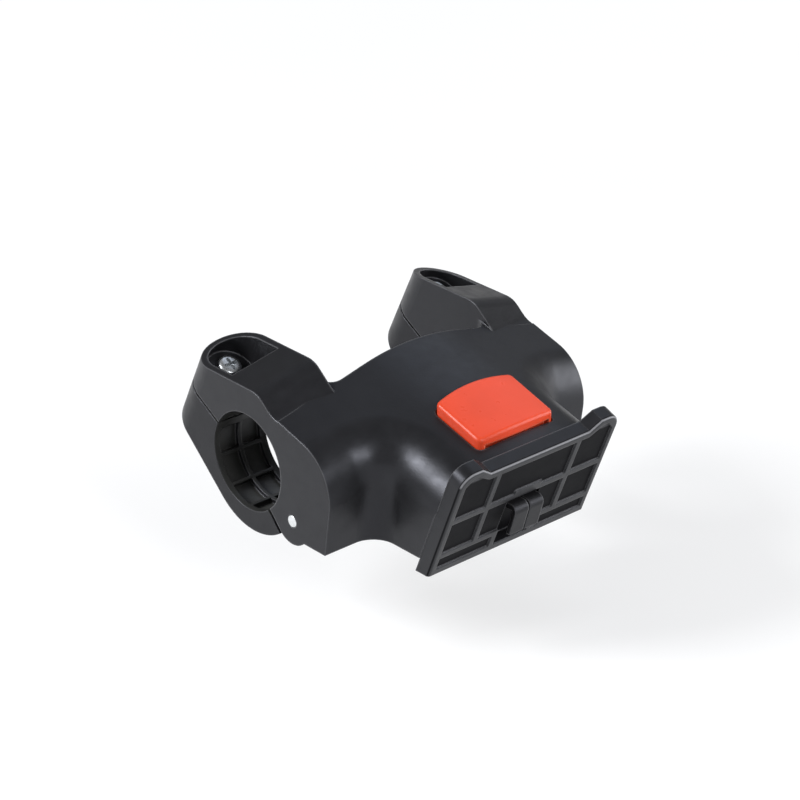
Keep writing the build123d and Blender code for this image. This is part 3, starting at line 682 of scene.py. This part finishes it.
class MeshShop:
    """Operator-based mesh work on one piece at a time."""

    SAME_LEVEL: ClassVar[float] = 1e-6
    SAME_WAY: ClassVar[float] = 0.9

    @staticmethod
    def start() -> None:
        """Leaves edit mode and deselects everything."""
        if bpy.context.object is not None and bpy.context.object.mode != "OBJECT":
            bpy.ops.object.mode_set(mode="OBJECT")
        bpy.ops.object.select_all(action="DESELECT")

    @staticmethod
    def only(piece: Object) -> None:
        """Makes one piece the only selected and active one.

        Args:
            piece: object to work on.
        """
        MeshShop.start()
        piece.select_set(True)
        bpy.context.view_layer.objects.active = piece

    @staticmethod
    def settle() -> None:
        """Moves the active piece's place, turn and size into its mesh."""
        bpy.ops.object.transform_apply(location=True, rotation=True, scale=True)

    @staticmethod
    def cylinder(name: str, radius: float, low: float, high: float, sides: int) -> Object:
        """Adds an upright cylinder on the Z axis, in millimetres.

        Args:
            name: name of the piece.
            radius: radius.
            low: lower end.
            high: upper end.
            sides: number of sides.

        Returns:
            The new object, active and selected.
        """
        MeshShop.start()
        middle = (0.0, 0.0, (low + high) / 2 * MM)
        bpy.ops.mesh.primitive_cylinder_add(
            vertices=sides, radius=radius * MM, depth=(high - low) * MM, location=middle)
        piece = bpy.context.object
        piece.name = name
        MeshShop.settle()
        return piece

    @staticmethod
    def pick_none(element: Element) -> None:
        """Deselects the active mesh, ready for choosing its elements.

        Args:
            element: kind of element to choose.
        """
        bpy.ops.object.mode_set(mode="EDIT")
        bpy.ops.mesh.select_mode(type=element.value)
        bpy.ops.mesh.select_all(action="DESELECT")
        bpy.ops.object.mode_set(mode="OBJECT")

    @staticmethod
    def pick_edges(piece: Object, height: float) -> None:
        """Selects, in edit mode, the edges that lie at a height.

        Args:
            piece: active object.
            height: Z of the edges, in millimetres.
        """
        MeshShop.pick_none(Element.EDGE)
        points = piece.data.vertices
        for edge in piece.data.edges:
            offsets = [abs(points[index].co.z - height * MM) for index in edge.vertices]
            edge.select = max(offsets) < MeshShop.SAME_LEVEL
        bpy.ops.object.mode_set(mode="EDIT")

    @staticmethod
    def pick_faces(piece: Object, direction: Vector) -> None:
        """Selects, in edit mode, the faces that point a given way.

        Args:
            piece: active object.
            direction: unit vector that the faces' normals follow.
        """
        MeshShop.pick_none(Element.FACE)
        for face in piece.data.polygons:
            face.select = face.normal.dot(direction) > MeshShop.SAME_WAY
        bpy.ops.object.mode_set(mode="EDIT")

    @staticmethod
    def pick_all() -> None:
        """Selects the whole active mesh, in edit mode."""
        bpy.ops.object.mode_set(mode="EDIT")
        bpy.ops.mesh.select_all(action="SELECT")

    @staticmethod
    def round_rim(piece: Object, height: float, width: float, segments: int) -> None:
        """Rounds the outer rim at a height.

        Args:
            piece: object with the rim.
            height: Z of the rim, in millimetres.
            width: width of the round, in millimetres.
            segments: segments of the round.
        """
        MeshShop.only(piece)
        MeshShop.pick_edges(piece, height)
        bpy.ops.mesh.bevel(offset=width * MM, segments=segments, profile=0.5, affect="EDGES")
        bpy.ops.object.mode_set(mode="OBJECT")

    @staticmethod
    def cut(piece: Object, cutter: Object) -> None:
        """Cuts one closed mesh out of another and removes the cutter.

        Args:
            piece: mesh that is kept.
            cutter: mesh that is taken away.
        """
        MeshShop.only(piece)
        boolean = piece.modifiers.new("cut", "BOOLEAN")
        boolean.operation = "DIFFERENCE"
        boolean.solver = "EXACT"
        boolean.object = cutter
        bpy.ops.object.modifier_apply(modifier=boolean.name)
        bpy.data.objects.remove(cutter)

    @staticmethod
    def join(piece: Object, other: Object) -> None:
        """Joins another mesh into a piece.

        Args:
            piece: object that is kept.
            other: object that becomes part of it.
        """
        MeshShop.only(piece)
        other.select_set(True)
        bpy.ops.object.join()

    @staticmethod
    def copy(piece: Object, name: str) -> Object:
        """Copies a piece, with a mesh of its own.

        Args:
            piece: object to copy.
            name: name of the copy.

        Returns:
            The copy, in the same place.
        """
        MeshShop.only(piece)
        bpy.ops.object.duplicate(linked=False)
        twin = bpy.context.object
        twin.name = name
        return twin

    @staticmethod
    def finish(piece: Object, place: Matrix, angle: float = 35.0) -> Object:
        """Puts a piece in its place, with the place in its mesh, and smooths its round faces.

        Args:
            piece: object built about its own axis.
            place: placement in the mount's frame.
            angle: faces that meet at less than this angle, in degrees, are shaded smooth.

        Returns:
            The finished object.
        """
        MeshShop.only(piece)
        MeshShop.pick_all()
        bpy.ops.mesh.normals_make_consistent(inside=False)
        bpy.ops.object.mode_set(mode="OBJECT")
        piece.matrix_world = place
        MeshShop.settle()
        bpy.ops.object.shade_smooth_by_angle(angle=math.radians(angle))
        return piece


@dataclass
class Helix:
    """Oval section swept round the Z axis, with closed ends; lengths in millimetres.

    radius is the distance of the section's middle from the axis, reach its half size outwards and
    rise its half size along the axis.
    """

    name: str
    radius: float
    reach: float
    rise: float
    sides: int
    pitch: float
    turns: int
    steps: int

    def section(self) -> Object:
        """Draws the oval beside the axis.

        Returns:
            The section, a closed ring of edges.
        """
        MeshShop.start()
        bpy.ops.mesh.primitive_circle_add(
            vertices=self.sides, radius=self.reach * MM, fill_type="NOTHING",
            location=(self.radius * MM, 0.0, 0.0), rotation=(QUARTER_TURN, 0.0, 0.0))
        piece = bpy.context.object
        piece.name = self.name
        MeshShop.settle()
        MeshShop.pick_all()
        bpy.ops.transform.resize(value=(1.0, 1.0, self.rise / self.reach), center_override=ORIGIN)
        bpy.ops.object.mode_set(mode="OBJECT")
        return piece

    def build(self) -> Object:
        """Sweeps the section and closes the ends.

        Returns:
            The helix, not yet placed.
        """
        piece = self.section()
        screw = piece.modifiers.new("helix", "SCREW")
        screw.angle = 2 * math.pi
        screw.screw_offset = self.pitch * MM
        screw.iterations = self.turns
        screw.steps = self.steps
        screw.render_steps = self.steps
        screw.use_merge_vertices = True
        bpy.ops.object.modifier_apply(modifier=screw.name)
        MeshShop.pick_none(Element.EDGE)
        bpy.ops.object.mode_set(mode="EDIT")
        bpy.ops.mesh.select_non_manifold()
        bpy.ops.mesh.edge_face_add()
        bpy.ops.object.mode_set(mode="OBJECT")
        return piece


@dataclass
class PanHeadScrew:
    """Pan-head screw with a cross recess and a cut thread, built along +Z, in millimetres.

    TOP_ROUND and RIM_ROUND are shares of the head's height, WING_RISE, WING_LENGTH and WING_WIDTH of
    the recess's depth, length and slot, POINT_EASE of the core's radius, and THREAD_HALF and
    THREAD_START of the pitch. STEM_LAP and THREAD_SINK are lengths.
    """

    name: str
    head_radius: float
    head_low: float
    head_height: float
    shank_radius: float
    thread_top: float
    tip: float
    core_radius: float
    thread_radius: float
    pitch: float
    recess: float
    slot: float
    recess_depth: float

    HEAD_SIDES: ClassVar[int] = 48
    TOP_ROUND: ClassVar[float] = 0.62
    TOP_SEGMENTS: ClassVar[int] = 6
    RIM_ROUND: ClassVar[float] = 0.12
    RIM_SEGMENTS: ClassVar[int] = 2
    WING_RISE: ClassVar[float] = 0.4
    WING_LENGTH: ClassVar[float] = 1.12
    WING_WIDTH: ClassVar[float] = 1.1
    WING_TAPER: ClassVar[Triple] = (0.8, 0.69, 1.0)
    STEM_SIDES: ClassVar[int] = 40
    STEM_LAP: ClassVar[float] = 0.3
    POINT_EASE: ClassVar[float] = 0.3
    POINT_SEGMENTS: ClassVar[int] = 2
    THREAD_SINK: ClassVar[float] = 0.08
    THREAD_HALF: ClassVar[float] = 0.42
    THREAD_START: ClassVar[float] = 1.2
    THREAD_SIDES: ClassVar[int] = 4
    THREAD_STEPS: ClassVar[int] = 20

    def build(self) -> Object:
        """Models the screw about its own axis.

        Returns:
            The screw, not yet placed.
        """
        top = self.head_low + self.head_height
        screw = MeshShop.cylinder(self.name, self.head_radius, self.head_low, top, self.HEAD_SIDES)
        MeshShop.round_rim(screw, top, self.TOP_ROUND * self.head_height, self.TOP_SEGMENTS)
        MeshShop.round_rim(screw, self.head_low, self.RIM_ROUND * self.head_height, self.RIM_SEGMENTS)
        for turn in (0.0, QUARTER_TURN):
            MeshShop.cut(screw, self.wing(top, turn))
        MeshShop.join(screw, self.stem())
        MeshShop.join(screw, self.thread())
        return screw

    def wing(self, top: float, turn: float) -> Object:
        """Tapered cutter for one slot of the cross.

        Args:
            top: height of the head's top, in millimetres.
            turn: angle of the slot about the axis.

        Returns:
            The cutter.
        """
        MeshShop.start()
        depth, rise = self.recess_depth, self.WING_RISE * self.recess_depth
        middle = (0.0, 0.0, (top + (rise - depth) / 2) * MM)
        bpy.ops.mesh.primitive_cube_add(size=MM, location=middle)
        cutter = bpy.context.object
        cutter.scale = (self.WING_LENGTH * self.recess, self.WING_WIDTH * self.slot, depth + rise)
        MeshShop.settle()
        MeshShop.pick_faces(cutter, DOWN)
        bpy.ops.transform.resize(value=self.WING_TAPER, center_override=ORIGIN)
        bpy.ops.object.mode_set(mode="OBJECT")
        cutter.rotation_euler.z = turn
        MeshShop.settle()
        return cutter

    def stem(self) -> Object:
        """Plain shank and pointed core, let a little into the head.

        Returns:
            The stem.
        """
        high = self.head_low + self.STEM_LAP
        stem = MeshShop.cylinder(
            self.name + "_stem", self.shank_radius, self.thread_top, high, self.STEM_SIDES)
        MeshShop.pick_faces(stem, DOWN)
        bpy.ops.mesh.inset(thickness=(self.shank_radius - self.core_radius) * MM, depth=0)
        reach = (0.0, 0.0, (self.tip - self.thread_top) * MM)
        bpy.ops.mesh.extrude_region_move(TRANSFORM_OT_translate={"value": reach})
        ease = self.POINT_EASE * self.core_radius * MM
        bpy.ops.mesh.bevel(offset=ease, segments=self.POINT_SEGMENTS, affect="EDGES")
        bpy.ops.object.mode_set(mode="OBJECT")
        return stem

    def thread(self) -> Object:
        """Helical ridge on the core.

        Returns:
            The ridge.
        """
        deep = self.core_radius - self.THREAD_SINK
        half = self.THREAD_HALF * self.pitch
        turns = int((self.thread_top - self.tip - 2 * half) / self.pitch) - 1
        ridge = Helix(
            name=self.name + "_thread", radius=deep, reach=self.thread_radius - deep, rise=half,
            sides=self.THREAD_SIDES, pitch=self.pitch, turns=turns, steps=self.THREAD_STEPS).build()
        ridge.location.z = (self.tip + self.THREAD_START * self.pitch) * MM
        MeshShop.only(ridge)
        MeshShop.settle()
        return ridge


def place_piece(piece: Object, node: str, body: str, material: Material) -> None:
    """Gives a finished piece its material and body, and lets it stand for its node.

    Args:
        piece: finished object.
        node: CAD node that it replaces.
        body: body that it moves with.
        material: finish.
    """
    piece.data.materials.clear()
    piece.data.materials.append(material)
    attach(piece, body)
    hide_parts(node)
    log.info("%s: %d faces, stands for %s", piece.name, len(piece.data.polygons), node)


@dataclass
class ClampFasteners:
    """Clamp screws, captive nuts and hinge pins, each modelled once and copied to both clamps."""

    layout: ClampLayout = ClampLayout()
    nut_flats: float = 7.0
    nut_low: float = -6.7
    nut_high: float = -3.5
    nut_turn: float = 30.0
    nut_ease: float = 0.3
    nut_bore: float = 2.1
    bore_reach: float = 1.0
    pin_radius: float = 2.0
    pin_round: float = 0.35

    HEXAGON: ClassVar[int] = 6
    ROUND_SIDES: ClassVar[int] = 40
    NUT_SEGMENTS: ClassVar[int] = 2
    PIN_SEGMENTS: ClassVar[int] = 4

    def screw(self) -> Object:
        """The clamp screw.

        Returns:
            The screw about its own axis.
        """
        screw = PanHeadScrew(
            name="clamp_screw_model", head_radius=4.0, head_low=self.layout.well_floor, head_height=2.7,
            shank_radius=2.0, thread_top=0.0, tip=-9.0, core_radius=1.6, thread_radius=1.95, pitch=0.7,
            recess=4.4, slot=1.1, recess_depth=1.5)
        return screw.build()

    def nut(self) -> Object:
        """The hexagon nut in the jaw, with eased rims and a plain bore.

        Returns:
            The nut about its own axis.
        """
        corner = self.nut_flats / math.sqrt(3)
        nut = MeshShop.cylinder("clamp_nut_model", corner, self.nut_low, self.nut_high, self.HEXAGON)
        MeshShop.pick_all()
        bpy.ops.transform.rotate(
            value=math.radians(self.nut_turn), orient_axis="Z", center_override=ORIGIN)
        bpy.ops.object.mode_set(mode="OBJECT")
        for height in (self.nut_low, self.nut_high):
            MeshShop.round_rim(nut, height, self.nut_ease, self.NUT_SEGMENTS)
        low, high = self.nut_low - self.bore_reach, self.nut_high + self.bore_reach
        MeshShop.cut(nut, MeshShop.cylinder("nut_bore", self.nut_bore, low, high, self.ROUND_SIDES))
        return nut

    def pin(self) -> Object:
        """The hinge pin with rounded ends.

        Returns:
            The pin about its own axis.
        """
        half = self.layout.arm_width / 2
        pin = MeshShop.cylinder("hinge_pin_model", self.pin_radius, -half, half, self.ROUND_SIDES)
        for end in (-half, half):
            MeshShop.round_rim(pin, end, self.pin_round, self.PIN_SEGMENTS)
        return pin

    def dress(self, zinc: Material, steel: Material) -> None:
        """Builds the pieces, gives them their finish and puts them on their bodies.

        Args:
            zinc: finish of the screws and the nuts.
            steel: finish of the pins.
        """
        jobs = (
            (self.screw(), "clamp_screw", "screw_{}", "screw_zinc", zinc, self.layout.screw_matrix),
            (self.nut(), "clamp_nut", "jaw_{}", "nut_steel", zinc, self.layout.screw_matrix),
            (self.pin(), "hinge_pin", "bracket", "pin_steel", steel, self.layout.pin_matrix),
        )
        for model, node, body, slot, material, place in jobs:
            for hand in Hand:
                piece = MeshShop.copy(model, f"{node}_{hand.label}_shown")
                MeshShop.finish(piece, place(hand))
                place_piece(piece, f"{node}_{hand.label}", body.format(hand.label), material)
            bpy.data.objects.remove(model)


@dataclass
class LatchParts:
    """Latch spring and cover screws inside the neck, in millimetres.

    spring_pressed is the share of its length that the spring would keep when the latch is drawn back;
    it is not used.
    """

    spring_radius: float = 2.2
    wire_radius: float = 0.34
    spring_seat: float = 24.5
    spring_pressed: float = 0.79
    spring_rear: float = 24.55
    spring_front: float = 43.95
    spring_height: float = -5.55
    spring_turns: int = 9
    post_across: float = 11.8
    post_forward: float = 34.0
    cover_top: float = -9.0
    cover_height: float = 2.2

    WIRE_SIDES: ClassVar[int] = 10
    WIRE_STEPS: ClassVar[int] = 28
    WIRE_ANGLE: ClassVar[float] = 60.0

    def spring(self) -> Object:
        """The coil spring, round in section, from its seat to the latch.

        Returns:
            The spring, in its place.
        """
        length = self.spring_front - self.spring_rear - 2 * self.wire_radius
        coil = Helix(
            name="latch_spring_shown", radius=self.spring_radius, reach=self.wire_radius,
            rise=self.wire_radius, sides=self.WIRE_SIDES, pitch=length / self.spring_turns,
            turns=self.spring_turns, steps=self.WIRE_STEPS).build()
        start = Vector((0.0, -(self.spring_rear + self.wire_radius), self.spring_height)) * MM
        place = Matrix.Translation(start) @ Matrix.Rotation(QUARTER_TURN, 4, "X")
        return MeshShop.finish(coil, place, self.WIRE_ANGLE)

    def screws(self) -> Object:
        """The two small cover screws, as one piece.

        Returns:
            The screws, in their places.
        """
        pair = PanHeadScrew(
            name="cover_screw_model", head_radius=2.8, head_low=self.cover_height, head_height=1.8,
            shank_radius=1.4, thread_top=0.0, tip=-8.0, core_radius=1.05, thread_radius=1.38, pitch=0.7,
            recess=3.0, slot=0.7, recess_depth=0.9).build()
        other = MeshShop.copy(pair, "cover_screw_other")
        for screw, hand in zip((pair, other), Hand):
            place = Vector((hand.value * self.post_across, -self.post_forward, self.cover_top)) * MM
            MeshShop.finish(screw, Matrix.Translation(place) @ Matrix.Rotation(math.pi, 4, "X"))
        MeshShop.join(pair, other)
        pair.name = "cover_screws_shown"
        return pair

    def dress(self, steel: Material) -> None:
        """Builds the pieces and gives them their finish.

        Args:
            steel: finish of the spring and the screws.
        """
        spring = self.spring()
        place_piece(spring, "latch_spring", "bracket", steel)
        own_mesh(spring)
        place_piece(self.screws(), "cover_screws", "bracket", steel)


@dataclass
class Mouldings:
    """The plastic pieces that keep their CAD shape."""

    body: BodyPlastic
    jaw: MouldedPlastic
    latch: LatchPlastic
    button: SatinPlastic

    def dress(self) -> None:
        """Makes the four finishes and gives every moulding its own."""
        pieces = (
            (self.body, ("bracket_body",)),
            (self.jaw, ("clamp_jaw_left", "clamp_jaw_right")),
            (self.latch, ("latch_slide", "latch_cover")),
            (self.button, ("release_button",)),
        )
        for finish, nodes in pieces:
            material = finish.material()
            for node in nodes:
                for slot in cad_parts[node].material_slots:
                    slot.material = material
                log.info("%s: %s", node, material.name)


@dataclass(frozen=True)
class Lamp:
    """Soft box: place, aim and size in metres, and power in watts."""

    name: str
    place: Triple
    size: float
    power: float
    colour: Triple = (0.97, 0.98, 1.0)
    aim: Triple = (0.0, -0.02, 0.0)

    def add(self) -> None:
        """Adds the lamp to the scene, turned towards its aim."""
        data = bpy.data.lights.new(self.name, "AREA")
        data.shape = "SQUARE"
        data.size = self.size
        data.energy = self.power
        data.color = self.colour
        lamp = bpy.data.objects.new(self.name, data)
        lamp.location = self.place
        sight = Vector(self.aim) - Vector(self.place)
        lamp.rotation_euler = sight.to_track_quat("-Z", "Y").to_euler()
        bpy.context.scene.collection.objects.link(lamp)


@dataclass
class Studio:
    """Pale floor, soft lamps, dim surroundings and the camera.

    The floor's height and the camera's place are in millimetres, the floor's size and fade and the
    camera's far clip in metres.
    """

    floor_height: float = -56.5
    floor_size: float = 40.0
    floor_dark: Triple = (0.44, 0.44, 0.44)
    floor_pale: Triple = (0.46, 0.46, 0.46)
    floor_cloud: Mottle = Mottle(3.0)
    floor_roughness: float = 0.9
    floor_lift: Pair = (0.51, 0.95)
    floor_fade: Pair = (0.35, 2.0)
    world_tone: float = 0.24
    lamps: tuple[Lamp, ...] = (
        Lamp("key", (-1.02, 0.48, 0.78), 0.48, 20.5),
        Lamp("front", (-0.15, -1.2, 0.62), 0.42, 9.0),
        Lamp("fill", (1.1, -0.85, 0.3), 1.1, 20.0),
        Lamp("sky", (0.85, 0.5, 1.05), 0.9, 2.3, (0.75, 0.84, 1.0)),
    )
    camera_place: Triple = (-517.8, -593.6, 390.3)
    camera_right: Triple = (0.7478, -0.6639, 0.0)
    camera_up: Triple = (0.2926, 0.3296, 0.8977)
    camera_back: Triple = (-0.5960, -0.6713, 0.4407)
    camera_sensor: float = 36.0
    camera_lens: float = 126.45
    camera_far: float = 20.0

    def paper(self) -> Material:
        """Matte pale paper that is lifted to white where the camera or a reflection sees it.

        Returns:
            The finished node material.
        """
        graph = Graph("floor_paper")
        colour = graph.mix(graph.mottled(self.floor_cloud), self.floor_dark, self.floor_pale)
        paper = graph.shader(COLOUR=colour, ROUGHNESS=self.floor_roughness, SPECULAR=0.0)
        path = graph.add("ShaderNodeLightPath")
        seen = path.outputs["Is Camera Ray"]
        for ray in ("Is Glossy Ray", "Is Transmission Ray"):
            seen = graph.math(Op.MAXIMUM, seen, path.outputs[ray])
        lift = graph.remap(graph.length(graph.object_point()), self.floor_fade, self.floor_lift)
        glow = graph.add("ShaderNodeEmission")
        graph.link(graph.math(Op.MULTIPLY, seen, lift), glow.inputs["Strength"])
        both = graph.add("ShaderNodeAddShader")
        graph.link(paper.outputs["BSDF"], both.inputs[0])
        graph.link(glow.outputs["Emission"], both.inputs[1])
        graph.link(both.outputs["Shader"], graph.output.inputs["Surface"])
        return graph.material

    def floor(self) -> None:
        """Adds the floor, low enough for the open jaws to clear it."""
        MeshShop.start()
        place = (0.0, 0.0, self.floor_height * MM)
        bpy.ops.mesh.primitive_plane_add(size=self.floor_size, location=place)
        plane = bpy.context.object
        plane.name = "floor"
        plane.data.materials.append(self.paper())

    def world(self) -> None:
        """Sets dim, even surroundings."""
        world = bpy.data.worlds.new("grey_room")
        world.use_nodes = True
        tone = (self.world_tone, self.world_tone, self.world_tone, 1.0)
        world.node_tree.nodes["Background"].inputs["Color"].default_value = tone
        bpy.context.scene.world = world

    def camera(self) -> None:
        """Adds the camera at the photograph's viewpoint."""
        data = bpy.data.cameras.new("viewpoint")
        data.sensor_fit = "HORIZONTAL"
        data.sensor_width = self.camera_sensor
        data.lens = self.camera_lens
        data.clip_end = self.camera_far
        data.dof.use_dof = False
        camera = bpy.data.objects.new("viewpoint", data)
        turn = Matrix((self.camera_right, self.camera_up, self.camera_back)).transposed()
        camera.matrix_world = Matrix.Translation(Vector(self.camera_place) * MM) @ turn.to_4x4()
        bpy.context.scene.collection.objects.link(camera)
        bpy.context.scene.camera = camera

    def build(self) -> None:
        """Builds the whole studio."""
        bpy.context.scene.view_settings.view_transform = "Standard"
        self.floor()
        self.world()
        for lamp in self.lamps:
            lamp.add()
        self.camera()
        log.info("studio: %d lamps", len(self.lamps))


def main() -> None:
    """Builds the studio, the finishes and the pieces in order."""
    logging.basicConfig(level=logging.INFO, format="%(name)s %(message)s")
    black = (0.010, 0.010, 0.011)
    Studio().build()
    Mouldings(
        # The edge colours pale the edges partly as wear and partly as a painted highlight.
        body=BodyPlastic("body_black", black, edge_wear_and_highlight=(0.11, 0.11, 0.115), roughness=0.37),
        jaw=MouldedPlastic(
            "jaw_black", black, edge_wear_and_highlight=(0.085, 0.085, 0.09), roughness=0.38, specular=0.26),
        latch=LatchPlastic(
            "latch_black", (0.013, 0.013, 0.014), edge_wear_and_highlight=(0.1, 0.1, 0.105), roughness=0.34,
            grain_height=0.015, specular=0.22),
        button=SatinPlastic(
            # The button's edge colour is a painted highlight.
            "button_red", (0.67, 0.062, 0.022), edge_wear_and_highlight=(0.9, 0.26, 0.16), roughness=0.31),
    ).dress()
    zinc = PlatedSteel("zinc_plate", (0.72, 0.74, 0.76), (0.5, 0.52, 0.53), 0.28).material()
    steel = PlatedSteel("pin_steel", (0.82, 0.84, 0.85), (0.66, 0.67, 0.68), 0.32).material()
    wire = PlatedSteel("drawn_wire", (0.5, 0.5, 0.52), (0.36, 0.36, 0.38), 0.35).material()
    ClampFasteners().dress(zinc, steel)
    LatchParts().dress(wire)
    MeshShop.start()


if __name__ == "__main__":
    main()
